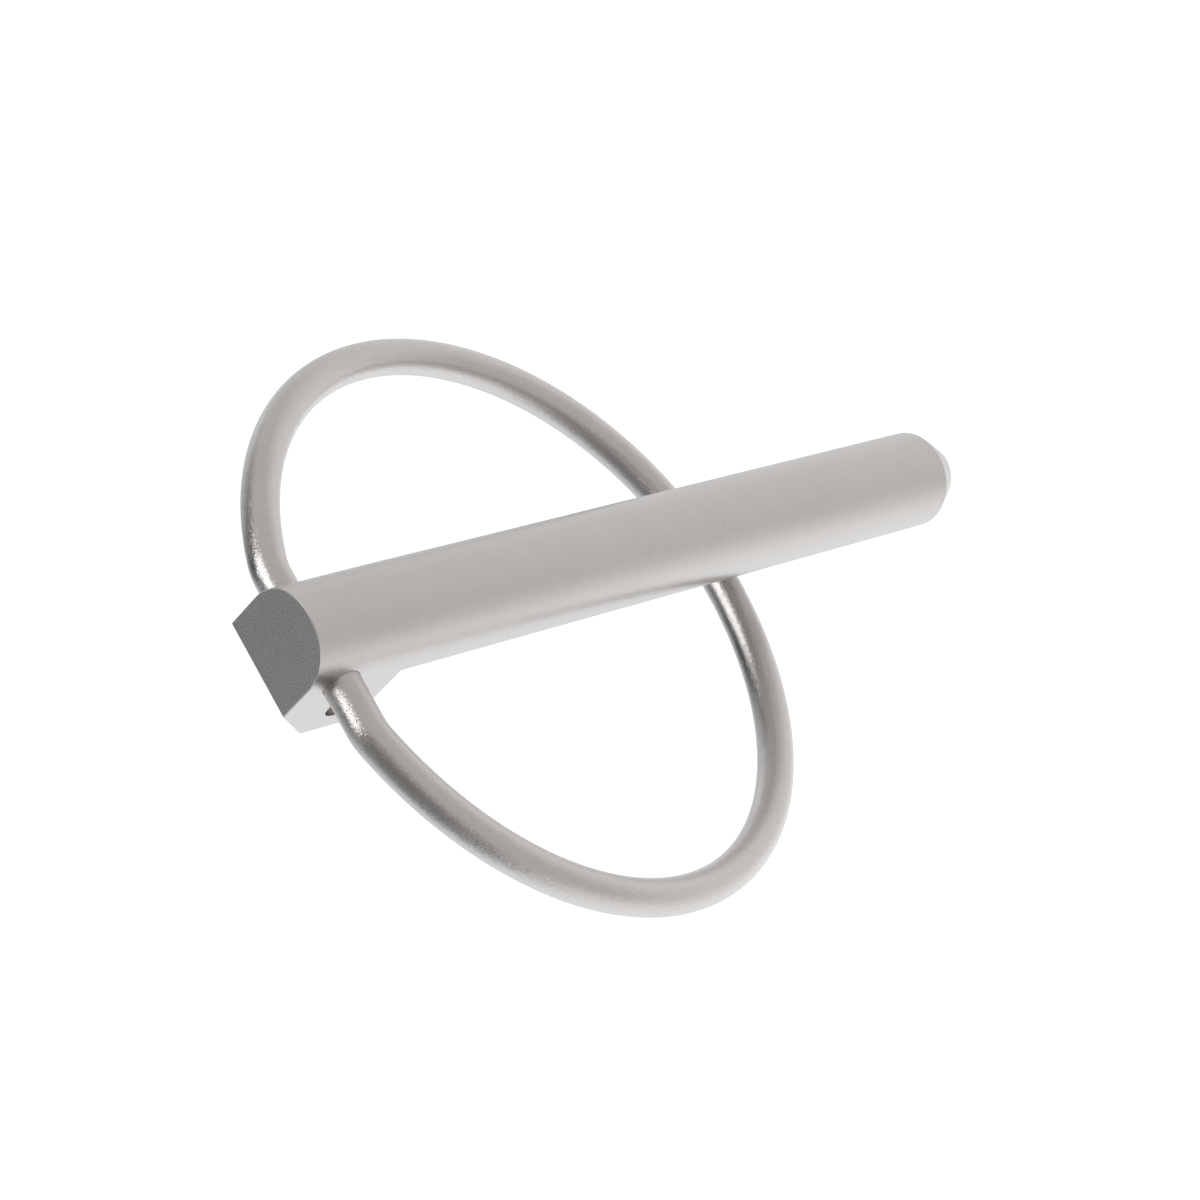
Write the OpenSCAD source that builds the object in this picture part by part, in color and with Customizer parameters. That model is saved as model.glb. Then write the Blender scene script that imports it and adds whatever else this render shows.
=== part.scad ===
// Quick release pin (linch pin): a one-piece turned and forged steel pin whose head carries a
// spring-wire ring. The two ends of the ring sit in two cross holes that are offset from each
// other, so the ring is twisted and snaps shut around whatever the pin secures.
// Frame: X runs along the shank from the shoulder (x = 0) to the tip, Z is up, the lug points down.

/* [Shank] */
// Diameter of the shank
shank_d = 6; // [4:0.5:10]
// Length from the shoulder of the head to the tip
grip_len = 47.75; // [38:0.25:70]
// Length of the lead-in cone at the tip
tip_len = 1.95; // [0.5:0.05:4]
// Diameter of the flat at the very tip
tip_flat_d = 3.75; // [1:0.25:3.75]

/* [Head] */
// Length of the head, from its end face to the shoulder
head_len = 7; // [6.5:0.25:12]
// Depth of the lug below the underside of the shank
lug_drop = 2.85; // [2.5:0.05:6]
// Leg of the 45 degree slope between the end face and the bottom of the lug
nose_leg = 3.15; // [0.5:0.05:3.5]
// Forging draft of the head: how much closer to the axis its sides are at the end face
head_draft = 0.02; // [0.01:0.01:0.2]
// Broken edge around the end face and along the bottom of the lug
edge_break = 0.05; // [0.05:0.01:0.3]

/* [Ring holes] */
// Metal between the end face and the hole near the axis
end_wall = 1.375; // [0.8:0.025:2]
// Height of that hole's centre above the axis of the shank
axis_hole_rise = -0.2; // [-0.3:0.05:0.3]
// Metal between the shoulder and the hole in the lug
shoulder_wall = 1.225; // [0.8:0.025:2]
// Metal between the bottom of the lug and the hole in the lug
floor_wall = 1.425; // [0.8:0.025:2]
// Play of the wire in its holes, on the diameter
hole_play = 0.05; // [0.05:0.01:0.3]

/* [Ring] */
// Diameter of the spring wire
wire_d = 2.2; // [1.5:0.05:2.5]
// Distance from the shoulder to the wire's centre at the far end of the loop
loop_reach = 32.75; // [24:0.05:45]
// Gap between the shank and the far end of the loop that lies under it
loop_gap = 2.55; // [0.5:0.05:6]
// Angle that each half of the loop turns through before its bend
loop_turn = 160; // [150:1:170]
// Radius at the centre of the wire where the loop turns into its holes
bend_r = 3; // [2:0.05:4]
// How far each wire end stops short of the opposite face of the head
end_recess = 0.4; // [0.25:0.05:2]

/* [Hidden] */
$fn = 96;
shank_r = shank_d / 2;
wire_r = wire_d / 2;
hole_r = wire_r + hole_play / 2;
head_end_r = shank_r - head_draft;
lug_bottom = -(shank_r + lug_drop);
// Hole centres as [x, z]. The near half of the ring uses the hole near the axis.
near_hole = [-head_len + end_wall + hole_r, axis_hole_rise];
far_hole = [-shoulder_wall - hole_r, lug_bottom + floor_wall + hole_r];
// Far end of the loop as [x, z], where both halves meet
loop_end = [loop_reach, -(shank_r + loop_gap + wire_r)];
stub_end = shank_r - end_recess;
past = 1;
joint_swell = 0.002;

// Turns a profile drawn as [radius, x] about the X axis
module turned_along_x() {
    rotate([0, 90, 0])
        rotate_extrude()
            children();
}

// Plain cylinder with the lead-in cone at its tip
module shank() {
    turned_along_x()
        polygon([
            [0, 0],
            [shank_r, 0],
            [shank_r, grip_len - tip_len],
            [tip_flat_d / 2, grip_len],
            [0, grip_len]
        ]);
}

// Upper half of the head, which continues the shank's round with a little draft
module head_round() {
    intersection() {
        turned_along_x()
            polygon([
                [0, -head_len],
                [head_end_r - edge_break, -head_len],
                [head_end_r, -head_len + edge_break],
                [shank_r, 0],
                [0, 0]
            ]);
        translate([-head_len - past, -shank_r - past, 0])
            cube([head_len + 2 * past, shank_d + 2 * past, shank_r + past]);
    }
}

// Side view of the lug, [x, z]
module lug_side() {
    polygon([
        [-head_len, 0],
        [-head_len, lug_bottom + nose_leg],
        [-head_len + nose_leg, lug_bottom],
        [0, lug_bottom],
        [0, 0]
    ]);
}

// Plan view of the lug, [x, y], with the same draft and with the end face's edges broken
module lug_plan() {
    polygon([
        [-head_len, -head_end_r + edge_break],
        [-head_len + edge_break, -head_end_r],
        [0, -shank_r],
        [0, shank_r],
        [-head_len + edge_break, head_end_r],
        [-head_len, head_end_r - edge_break]
    ]);
}

// End view of the lug, [y, z], with the bottom edges broken
module lug_end() {
    polygon([
        [-shank_r, 0],
        [-shank_r, lug_bottom + edge_break],
        [-shank_r + edge_break, lug_bottom],
        [shank_r - edge_break, lug_bottom],
        [shank_r, lug_bottom + edge_break],
        [shank_r, 0]
    ]);
}

// Lower half of the head: the three views cut from one another
module lug() {
    intersection() {
        translate([0, shank_r + past, 0])
            rotate([90, 0, 0])
                linear_extrude(height = shank_d + 2 * past)
                    lug_side();
        translate([0, 0, lug_bottom - past])
            linear_extrude(height = -lug_bottom + 2 * past)
                lug_plan();
        translate([-head_len - past, 0, 0])
            rotate([90, 0, 90])
                linear_extrude(height = head_len + 2 * past)
                    lug_end();
    }
}

// Hole drilled straight across the head at [x, z]
module cross_hole(at) {
    translate([at[0], shank_r + past, at[1]])
        rotate([90, 0, 0])
            cylinder(r = hole_r, h = shank_d + 2 * past);
}

module pin() {
    color("silver")
        difference() {
            union() {
                shank();
                head_round();
                lug();
            }
            cross_hole(near_hole);
            cross_hole(far_hole);
        }
}

// Ball over the joint between two stretches of wire, a hair larger so that they fuse
module wire_joint() {
    sphere(r = wire_r + joint_swell);
}

// One half of the ring, on the side where Y is positive. It is drawn from the far end of the
// loop, in a plane that holds the Y direction: a wide arc, a tighter bend, and a straight wire
// end along Y that lies in its hole.
module half_ring(hole) {
    run = loop_end - hole;
    half_len = norm(run);
    tilt = atan2(-run[1], run[0]);
    loop_r = (half_len - bend_r * (1 + cos(loop_turn))) / (1 - cos(loop_turn));
    bend_y = (loop_r - bend_r) * sin(loop_turn);
    translate([loop_end[0], 0, loop_end[1]])
        rotate([0, tilt, 0]) {
            translate([-loop_r, 0, 0]) {
                rotate_extrude(angle = loop_turn)
                    translate([loop_r, 0])
                        circle(r = wire_r);
                rotate([0, 0, loop_turn])
                    translate([loop_r, 0, 0])
                        wire_joint();
            }
            translate([bend_r - half_len, bend_y, 0])
                rotate_extrude(start = loop_turn, angle = 180 - loop_turn)
                    translate([bend_r, 0])
                        circle(r = wire_r);
            translate([-half_len, bend_y, 0]) {
                wire_joint();
                rotate([90, 0, 0])
                    cylinder(r = wire_r, h = bend_y + stub_end);
            }
        }
}

module ring() {
    color("darkgray")
        union() {
            half_ring(far_hole);
            mirror([0, 1, 0])
                half_ring(near_hole);
            translate([loop_end[0], 0, loop_end[1]])
                wire_joint();
        }
}

pin();
ring();
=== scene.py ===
"""Looks of the quick release pin: a satin steel pin and the spring-wire ring in its head.

Everything stands in the shared frame, in metres: X runs along the shank to its tip, Z is up. The
wire is laid out in millimetres first.
"""

import math

import bpy
from mathutils import Matrix, Vector


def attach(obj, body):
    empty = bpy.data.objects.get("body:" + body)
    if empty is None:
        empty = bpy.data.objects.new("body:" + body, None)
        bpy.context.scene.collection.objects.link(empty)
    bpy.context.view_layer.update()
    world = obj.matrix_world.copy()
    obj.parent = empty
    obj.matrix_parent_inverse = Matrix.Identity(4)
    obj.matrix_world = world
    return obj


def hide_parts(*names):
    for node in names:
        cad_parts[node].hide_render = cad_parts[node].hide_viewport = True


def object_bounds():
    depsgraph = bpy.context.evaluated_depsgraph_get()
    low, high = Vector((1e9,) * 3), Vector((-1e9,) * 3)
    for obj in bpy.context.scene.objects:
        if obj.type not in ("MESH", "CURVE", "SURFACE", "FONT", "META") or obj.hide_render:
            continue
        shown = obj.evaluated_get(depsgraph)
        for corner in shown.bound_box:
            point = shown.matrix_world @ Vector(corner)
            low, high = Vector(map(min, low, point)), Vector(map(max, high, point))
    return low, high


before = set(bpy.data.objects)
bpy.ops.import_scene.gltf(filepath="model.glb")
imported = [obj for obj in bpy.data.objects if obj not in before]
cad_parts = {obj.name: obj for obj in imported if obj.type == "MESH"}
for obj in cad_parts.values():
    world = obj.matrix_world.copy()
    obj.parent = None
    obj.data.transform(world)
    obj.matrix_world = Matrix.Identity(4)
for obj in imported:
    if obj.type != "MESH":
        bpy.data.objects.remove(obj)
cad_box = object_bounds()

MM = 0.001

# The ring in millimetres, along the path that its wire has in the CAD
WIRE_R = 1.097
BEND_R = 3.0
LOOP_TURN = math.radians(160)
LOOP_END = Vector((32.75, 0, -6.65))
NEAR_HOLE = Vector((-4.5, 0, -0.2))
FAR_HOLE = Vector((-2.35, 0, -3.3))
STUB_END = 2.6
# The wire is a hair thicker where it fills its hole: its radius, how far, and the change's length
SNUG_R = 1.11
SNUG_LENGTH = 5.2
SNUG_EASE = 1.5
# The rounded cut of a wire end: its depth, and where its middle lies as a share of that
END_CHAMFER = 0.18
END_ROUND = 0.3
# The mesh: distance between cross-sections, points in each, and the name of its own coordinates
WIRE_STEP = 0.25
WIRE_SIDES = 56
WIRE_COORDS = "wire_mm"

# Camera: place, picture axes and lens of the photograph
CAMERA_PLACE = Vector((-0.1148535, -0.0495743, 0.1243094))
CAMERA_RIGHT = Vector((0.68841, -0.48767, 0.53691))
CAMERA_UP = Vector((0.18934, 0.83539, 0.51602))
CAMERA_CLIP = 0.01
SENSOR_MM = 36
PICTURE_PX = 1200
FOCAL_PX = 3267.8

# Steel
PIN_COLOUR = (0.605, 0.584, 0.568)
# The end face's colour, darkened with painted shade
END_SHADE_COLOUR = (0.476, 0.471, 0.467)
WIRE_COLOUR = (0.600, 0.579, 0.563)
PIN_ROUGHNESS = 0.35
WIRE_ROUGHNESS = 0.29
# The end face of the head, its colour darkened with painted shade: the X of the normal where its
# look begins and is full, how much rougher it is, and how far its grain varies its colour
END_FACING = (-0.9, -0.99)
END_DULLNESS = 0.08
END_GRAIN_TONE = 0.26
# Lines, grain and smudges: features a millimetre, for the lines along each axis
TURNED_LINES = (9, 0.12, 0.12)
DRAWN_LINES = (6, 6, 0.08)
GRAIN_PER_MM = 13.0
PIN_SMUDGES_PER_MM = 0.22
WIRE_SMUDGES_PER_MM = 0.3
# How far lines, grain and smudges vary the colour, and how far lines and smudges the roughness
PIN_TONES = (0.015, 0.015, 0.02)
WIRE_TONES = (0.02, 0.02, 0.02)
ROUGHNESS_REACH = 0.02
# Height of the grain in mm, and that of the lines as a share of it
GRAIN_HEIGHT = 0.005
LINE_HEIGHT_SHARE = 0.15
# The part of a noise's range that is held level at each end
LINE_EDGE = 0.25
GRAIN_EDGE = 0.3
# Sparkle: crystals a millimetre, and how far the most tilted of them tip the normal
PIN_SPANGLES_PER_MM = 17
PIN_SPANGLE_TILT = 0.07
WIRE_SPANGLES_PER_MM = 23
WIRE_SPANGLE_TILT = 0.17

# Studio: level and tint of the room above and below, and the height over which they change
ROOM_TOP = 0.626
ROOM_FLOOR = 0.811
ROOM_CHANGE = 0.6
TOP_TINT = (1.02, 1.0, 0.98)
FLOOR_TINT = (0.985, 1.0, 1.015)
# Soft lights and dark flags, each as azimuth, elevation, inner and outer half-angle, level
FRONT_GLOW = (-58, -32, 0, 72, 0.39)
FRONT_FILL = (9.5, 7, 0, 58, 0.26)
LEFT_FLAG = (-154, -2, 0, 70, 0.68)
RIGHT_FLAG = (120.5, -29, 0, 50, 0.97)
BACK_SOFTBOX = (151.5, 5.5, 15.5, 26.5, 2.1)
LOW_SOFTBOX = (92.5, -30.5, 15, 24.5, 0.46)
# Floor: half its side, its grey, and what the camera sees of it: glow, and the share of plain paper
FLOOR_REACH = 1.5
PAPER_GREY = 0.85
FLOOR_GLOW = 1.35
PAPER_SHARE = 0.3


# ---------------------------------------------------------------- node helpers


def add(tree, kind, sockets=None, **settings):
    """A new node with its settings, and its inputs set or linked."""
    n = tree.nodes.new(kind)
    for name, value in settings.items():
        setattr(n, name, value)
    for key, value in (sockets or {}).items():
        if isinstance(value, bpy.types.NodeSocket):
            tree.links.new(value, n.inputs[key])
        else:
            n.inputs[key].default_value = value
    return n


def maths(tree, operation, a, b, clamp=False):
    return add(tree, "ShaderNodeMath", {0: a, 1: b}, operation=operation, use_clamp=clamp).outputs[0]


def vectors(tree, operation, *values):
    return add(tree, "ShaderNodeVectorMath", dict(enumerate(values)), operation=operation).outputs[0]


def spread(tree, value, low, high, to_low, to_high, smooth=False):
    """value from low..high taken to to_low..to_high, and held at the ends."""
    kind = "SMOOTHSTEP" if smooth else "LINEAR"
    sockets = {0: value, 1: low, 2: high, 3: to_low, 4: to_high}
    return add(tree, "ShaderNodeMapRange", sockets, interpolation_type=kind).outputs[0]


def wobble(tree, value, edge, reach, middle=0.0):
    """Noise taken to middle plus or minus reach."""
    return spread(tree, value, edge, 1 - edge, middle - reach, middle + reach)


def noise(tree, coords, scale, detail, roughness, stretch=(1, 1, 1)):
    """Noise with that many features a millimetre, multiplied along each axis by stretch."""
    at = add(tree, "ShaderNodeMapping", {"Vector": coords, "Scale": stretch}).outputs[0]
    sockets = {"Vector": at, "Scale": scale, "Detail": detail, "Roughness": roughness}
    return add(tree, "ShaderNodeTexNoise", sockets).outputs[0]


def new_material(name):
    m = bpy.data.materials.new(name)
    m.use_nodes = True
    m.node_tree.nodes.clear()
    return m, m.node_tree


def heading(azimuth, elevation):
    """Unit vector towards an azimuth (0 is the tip's side, 90 is +Y) and an elevation."""
    a, e = math.radians(azimuth), math.radians(elevation)
    return Vector((math.cos(e) * math.cos(a), math.cos(e) * math.sin(a), math.sin(e)))


# ---------------------------------------------------------------- steel


def blend(tree, sockets, kind="MIX"):
    """A colour mixed from A to B by Factor."""
    mix = add(tree, "ShaderNodeMix", data_type="RGBA", blend_type=kind)
    for key, name in (("Factor", "Factor_Float"), ("A", "A_Color"), ("B", "B_Color")):
        socket = next(i for i in mix.inputs if i.identifier == name)
        value = sockets[key]
        if isinstance(value, bpy.types.NodeSocket):
            tree.links.new(value, socket)
        else:
            socket.default_value = value
    return next(o for o in mix.outputs if o.identifier == "Result_Color")


def tinted(tree, colour, share):
    """A colour multiplied by a number that varies over the surface."""
    grey = add(tree, "ShaderNodeCombineColor", {0: share, 1: share, 2: share}).outputs[0]
    return blend(tree, {"Factor": 1.0, "A": (*colour, 1), "B": grey}, "MULTIPLY")


def spangle(tree, coords, per_mm, tilt):
    """The surface normal tipped at random in each tiny crystal, most of them only a little."""
    cells = add(tree, "ShaderNodeTexVoronoi", {"Vector": coords, "Scale": per_mm}).outputs["Color"]
    signed = vectors(tree, "MULTIPLY_ADD", cells, (2, 2, 2), (-1, -1, -1))
    cube = vectors(tree, "MULTIPLY", vectors(tree, "MULTIPLY", signed, signed), signed)
    normal = add(tree, "ShaderNodeNewGeometry").outputs["Normal"]
    tipped = vectors(tree, "MULTIPLY_ADD", cube, (tilt, tilt, tilt), normal)
    return vectors(tree, "NORMALIZE", tipped)


def wear(tree, mm, line_stretch, smudges_per_mm):
    """Lines, grain and smudges, each as a number that varies over the surface."""
    lines = noise(tree, mm, scale=1.0, detail=3, roughness=0.6, stretch=line_stretch)
    grain = noise(tree, mm, scale=GRAIN_PER_MM, detail=0, roughness=0.5)
    smudge = noise(tree, mm, scale=smudges_per_mm, detail=3, roughness=0.55)
    return lines, grain, smudge


def uneven_tone(tree, lines, grain, smudge, tones):
    """A number about 1 to multiply the colour by."""
    tone = wobble(tree, lines, LINE_EDGE, tones[0])
    tone = maths(tree, "ADD", tone, wobble(tree, grain, GRAIN_EDGE, tones[1], middle=1))
    return maths(tree, "ADD", tone, wobble(tree, smudge, GRAIN_EDGE, tones[2]))


def uneven_roughness(tree, lines, smudge, middle):
    by_lines = wobble(tree, lines, LINE_EDGE, ROUGHNESS_REACH, middle)
    return maths(tree, "ADD", by_lines, wobble(tree, smudge, GRAIN_EDGE, ROUGHNESS_REACH))


def finish_steel(tree, colour, roughness, grain, lines, normal):
    """The metal, with its grain and its lines as one bump."""
    height = maths(tree, "ADD", grain, maths(tree, "MULTIPLY", lines, LINE_HEIGHT_SHARE))
    sockets = {"Strength": 1.0, "Distance": GRAIN_HEIGHT * MM, "Height": height, "Normal": normal}
    bump = add(tree, "ShaderNodeBump", sockets)
    shader = add(
        tree,
        "ShaderNodeBsdfPrincipled",
        {"Base Color": colour, "Metallic": 1.0, "Roughness": roughness, "Normal": bump.outputs[0]},
    )
    add(tree, "ShaderNodeOutputMaterial", {"Surface": shader.outputs[0]})


def pin_steel():
    """Turned and satin finished: fine rings round the shank, and a duller, grainy end face darkened
    with painted shade.
    """
    material, tree = new_material("satin_steel")
    coords = add(tree, "ShaderNodeTexCoord").outputs["Object"]
    mm = vectors(tree, "MULTIPLY", coords, (1 / MM, 1 / MM, 1 / MM))
    normal = add(tree, "ShaderNodeNewGeometry").outputs["True Normal"]
    facing = add(tree, "ShaderNodeSeparateXYZ", {0: normal}).outputs["X"]
    end = spread(tree, facing, *END_FACING, 0, 1)

    lines, grain, smudge = wear(tree, mm, TURNED_LINES, PIN_SMUDGES_PER_MM)
    satin = uneven_tone(tree, lines, grain, smudge, PIN_TONES)
    # The end face: its grain on a colour darkened with painted shade
    shaded_end = wobble(tree, grain, GRAIN_EDGE, END_GRAIN_TONE, middle=1)
    satin, shaded_end = tinted(tree, PIN_COLOUR, satin), tinted(tree, END_SHADE_COLOUR, shaded_end)
    colour = blend(tree, {"Factor": end, "A": satin, "B": shaded_end})
    roughness = uneven_roughness(tree, lines, smudge, PIN_ROUGHNESS)
    roughness = maths(tree, "ADD", roughness, maths(tree, "MULTIPLY", end, END_DULLNESS))
    sparkle = spangle(tree, mm, PIN_SPANGLES_PER_MM, PIN_SPANGLE_TILT)
    finish_steel(tree, colour, roughness, grain, lines, sparkle)
    return material


def wire_steel():
    """Drawn spring wire: fine lines along the wire and a slight sparkle."""
    material, tree = new_material("spring_wire")
    sockets = {"attribute_name": WIRE_COORDS, "attribute_type": "GEOMETRY"}
    wire = add(tree, "ShaderNodeAttribute", **sockets).outputs["Vector"]
    lines, grain, smudge = wear(tree, wire, DRAWN_LINES, WIRE_SMUDGES_PER_MM)
    tone = uneven_tone(tree, lines, grain, smudge, WIRE_TONES)
    roughness = uneven_roughness(tree, lines, smudge, WIRE_ROUGHNESS)
    sparkle = spangle(tree, wire, WIRE_SPANGLES_PER_MM, WIRE_SPANGLE_TILT)
    finish_steel(tree, tinted(tree, WIRE_COLOUR, tone), roughness, grain, lines, sparkle)
    return material


# ---------------------------------------------------------------- ring


def arc(centre, across, out, radius, first, last):
    """Points on an arc in the plane of two directions, about WIRE_STEP apart."""
    steps = max(2, round(radius * abs(last - first) / WIRE_STEP))
    angles = [first + (last - first) * i / steps for i in range(steps + 1)]
    return [centre + radius * (math.cos(a) * across + math.sin(a) * out) for a in angles]


def line(start, end):
    steps = max(2, round((end - start).length / WIRE_STEP))
    return [start.lerp(end, i / steps) for i in range(steps + 1)]


def half_path(hole, side):
    """Centreline of one half of the ring, from the far end of the loop to its wire end."""
    run = LOOP_END - hole
    along = run.normalized()
    out = Vector((0, side, 0))
    turn = math.cos(LOOP_TURN)
    loop_r = (run.length - BEND_R * (1 + turn)) / (1 - turn)
    bend_y = (loop_r - BEND_R) * math.sin(LOOP_TURN)
    loop = arc(LOOP_END - loop_r * along, along, out, loop_r, 0, LOOP_TURN)
    bend = arc(hole + BEND_R * along + bend_y * out, along, out, BEND_R, LOOP_TURN, math.pi)
    stub = line(hole + bend_y * out, hole - STUB_END * out)
    return loop + bend[1:] + stub[1:]


def turned_frames(path):
    """Each point's direction and the two directions across it, carried along without twist."""
    frames = []
    across = Vector((0, 0, 1))
    last = None
    for i, point in enumerate(path):
        ahead = (path[min(i + 1, len(path) - 1)] - path[max(i - 1, 0)]).normalized()
        if last is not None:
            across = last.rotation_difference(ahead) @ across
        across = (across - across.dot(ahead) * ahead).normalized()
        frames.append((point, ahead, across, ahead.cross(across)))
        last = ahead
    return frames


def end_rings():
    """The rounded cut of a wire end as (distance back from the end, radius) in mm."""
    middle = END_CHAMFER * END_ROUND
    return [(0.0, SNUG_R - END_CHAMFER), (middle, SNUG_R - middle), (END_CHAMFER, SNUG_R)]


def wire_radius(back):
    """Radius of the wire that far back from its end: a hair larger where it fills its hole."""
    share = min(1, max(0, (back - SNUG_LENGTH) / SNUG_EASE))
    return SNUG_R + share * (WIRE_R - SNUG_R)


def wire_rings(path):
    """Cross-sections along the wire as (point, across, up, radius, distance along it)."""
    frames = turned_frames(path)
    whole = sum((b - a).length for a, b in zip(path, path[1:]))
    rings, length = [], 0.0
    for i, (point, ahead, across, up) in enumerate(frames):
        if i:
            length += (point - frames[i - 1][0]).length
        if i == 0:
            rings += [(point + back * ahead, across, up, r, back) for back, r in end_rings()]
        elif i == len(frames) - 1:
            for back, r in reversed(end_rings()):
                rings.append((point - back * ahead, across, up, r, whole - back))
        else:
            rings.append((point, across, up, wire_radius(min(length, whole - length)), length))
    return rings


def tube_faces(count):
    """Faces of a tube of that many cross-sections: its side, and then its two ends."""
    faces = []
    for i in range(count - 1):
        for k in range(WIRE_SIDES):
            a, b = i * WIRE_SIDES + k, i * WIRE_SIDES + (k + 1) % WIRE_SIDES
            faces.append((a, b, b + WIRE_SIDES, a + WIRE_SIDES))
    last = (count - 1) * WIRE_SIDES
    return faces + [tuple(reversed(range(WIRE_SIDES))), tuple(range(last, last + WIRE_SIDES))]


def ring_mesh():
    """The wire as a closed tube. Each point also keeps its place on the wire laid straight."""
    near, far = half_path(NEAR_HOLE, -1), half_path(FAR_HOLE, 1)
    rings = wire_rings(near[::-1] + far[1:])
    points, straight = [], []
    for point, across, up, radius, length in rings:
        for k in range(WIRE_SIDES):
            a = 2 * math.pi * k / WIRE_SIDES
            c, s = radius * math.cos(a), radius * math.sin(a)
            points.append((point + c * across + s * up) * MM)
            straight.append((c, s, length))
    mesh = bpy.data.meshes.new("ring_wire")
    mesh.from_pydata(points, [], tube_faces(len(rings)))
    mesh.validate()
    mesh.shade_smooth()
    for polygon in list(mesh.polygons)[-2:]:
        polygon.use_smooth = False
    attribute = mesh.attributes.new(WIRE_COORDS, "FLOAT_VECTOR", "POINT")
    attribute.data.foreach_set("vector", [x for p in straight for x in p])
    return mesh


def build_ring():
    ring = bpy.data.objects.new("ring_wire", ring_mesh())
    bpy.context.scene.collection.objects.link(ring)
    ring.data.materials.append(wire_steel())
    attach(ring, "ring")
    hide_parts("ring")


def dress_pin():
    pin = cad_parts["pin"]
    pin.data.materials.clear()
    pin.data.materials.append(pin_steel())


# ---------------------------------------------------------------- studio


def lobe(tree, direction, light):
    """How strongly a ray's direction meets a soft light or flag: its level, falling to 0."""
    azimuth, elevation, inner, outer, level = light
    sockets = {0: direction, 1: heading(azimuth, elevation)}
    dot = add(tree, "ShaderNodeVectorMath", sockets, operation="DOT_PRODUCT").outputs["Value"]
    first, last = math.cos(math.radians(outer)), math.cos(math.radians(inner))
    return spread(tree, dot, first, last, 0, level, smooth=True)


def build_world():
    """White for the camera. For all else a soft room with two fills, two flags and two softboxes."""
    world = bpy.data.worlds.new("studio")
    bpy.context.scene.world = world
    world.use_nodes = True
    tree = world.node_tree
    tree.nodes.clear()
    direction = add(tree, "ShaderNodeTexCoord").outputs["Generated"]
    height = add(tree, "ShaderNodeSeparateXYZ", {0: direction}).outputs["Z"]
    level = spread(tree, height, -ROOM_CHANGE, ROOM_CHANGE, ROOM_FLOOR, ROOM_TOP, smooth=True)
    for light in (FRONT_GLOW, FRONT_FILL):
        level = maths(tree, "ADD", level, lobe(tree, direction, light))
    for flag in (LEFT_FLAG, RIGHT_FLAG):
        kept = maths(tree, "SUBTRACT", 1.0, lobe(tree, direction, flag), clamp=True)
        level = maths(tree, "MULTIPLY", level, kept)
    for light in (BACK_SOFTBOX, LOW_SOFTBOX):
        level = maths(tree, "ADD", level, lobe(tree, direction, light))
    up = spread(tree, height, -ROOM_CHANGE, ROOM_CHANGE, 0, 1, smooth=True)
    tint = blend(tree, {"Factor": up, "A": (*FLOOR_TINT, 1), "B": (*TOP_TINT, 1)})
    room = add(tree, "ShaderNodeBackground", {"Color": tint, "Strength": level}).outputs[0]
    white = add(tree, "ShaderNodeBackground", {"Color": (1, 1, 1, 1), "Strength": 1.0}).outputs[0]
    camera_ray = add(tree, "ShaderNodeLightPath").outputs["Is Camera Ray"]
    seen = add(tree, "ShaderNodeMixShader", {0: camera_ray, 1: room, 2: white}).outputs[0]
    add(tree, "ShaderNodeOutputWorld", {"Surface": seen})


def build_floor():
    """A plain white sweep under the object. The camera sees it white with a faint shadow."""
    low, r = cad_box[0].z, FLOOR_REACH
    mesh = bpy.data.meshes.new("floor")
    mesh.from_pydata([(-r, -r, low), (r, -r, low), (r, r, low), (-r, r, low)], [], [(0, 1, 2, 3)])
    floor = bpy.data.objects.new("floor", mesh)
    bpy.context.scene.collection.objects.link(floor)
    material, tree = new_material("floor_paper")
    grey = (PAPER_GREY, PAPER_GREY, PAPER_GREY, 1)
    paper = add(tree, "ShaderNodeBsdfDiffuse", {"Color": grey}).outputs[0]
    sockets = {"Color": (1, 1, 1, 1), "Strength": FLOOR_GLOW}
    white = add(tree, "ShaderNodeEmission", sockets).outputs[0]
    seen = add(tree, "ShaderNodeMixShader", {0: PAPER_SHARE, 1: white, 2: paper}).outputs[0]
    camera_ray = add(tree, "ShaderNodeLightPath").outputs["Is Camera Ray"]
    surface = add(tree, "ShaderNodeMixShader", {0: camera_ray, 1: paper, 2: seen}).outputs[0]
    add(tree, "ShaderNodeOutputMaterial", {"Surface": surface})
    mesh.materials.append(material)
    floor.visible_glossy = False


def build_camera():
    data = bpy.data.cameras.new("camera")
    data.sensor_width = SENSOR_MM
    data.lens = FOCAL_PX / PICTURE_PX * SENSOR_MM
    data.clip_start = CAMERA_CLIP
    camera = bpy.data.objects.new("camera", data)
    bpy.context.scene.collection.objects.link(camera)
    back = CAMERA_RIGHT.cross(CAMERA_UP).normalized()
    right = CAMERA_UP.cross(back).normalized()
    axes = Matrix((right, back.cross(right), back)).transposed()
    camera.matrix_world = Matrix.Translation(CAMERA_PLACE) @ axes.to_4x4()
    bpy.context.scene.camera = camera


build_camera()
build_ring()
dress_pin()
build_world()
build_floor()
bpy.context.scene.view_settings.view_transform = "Standard"
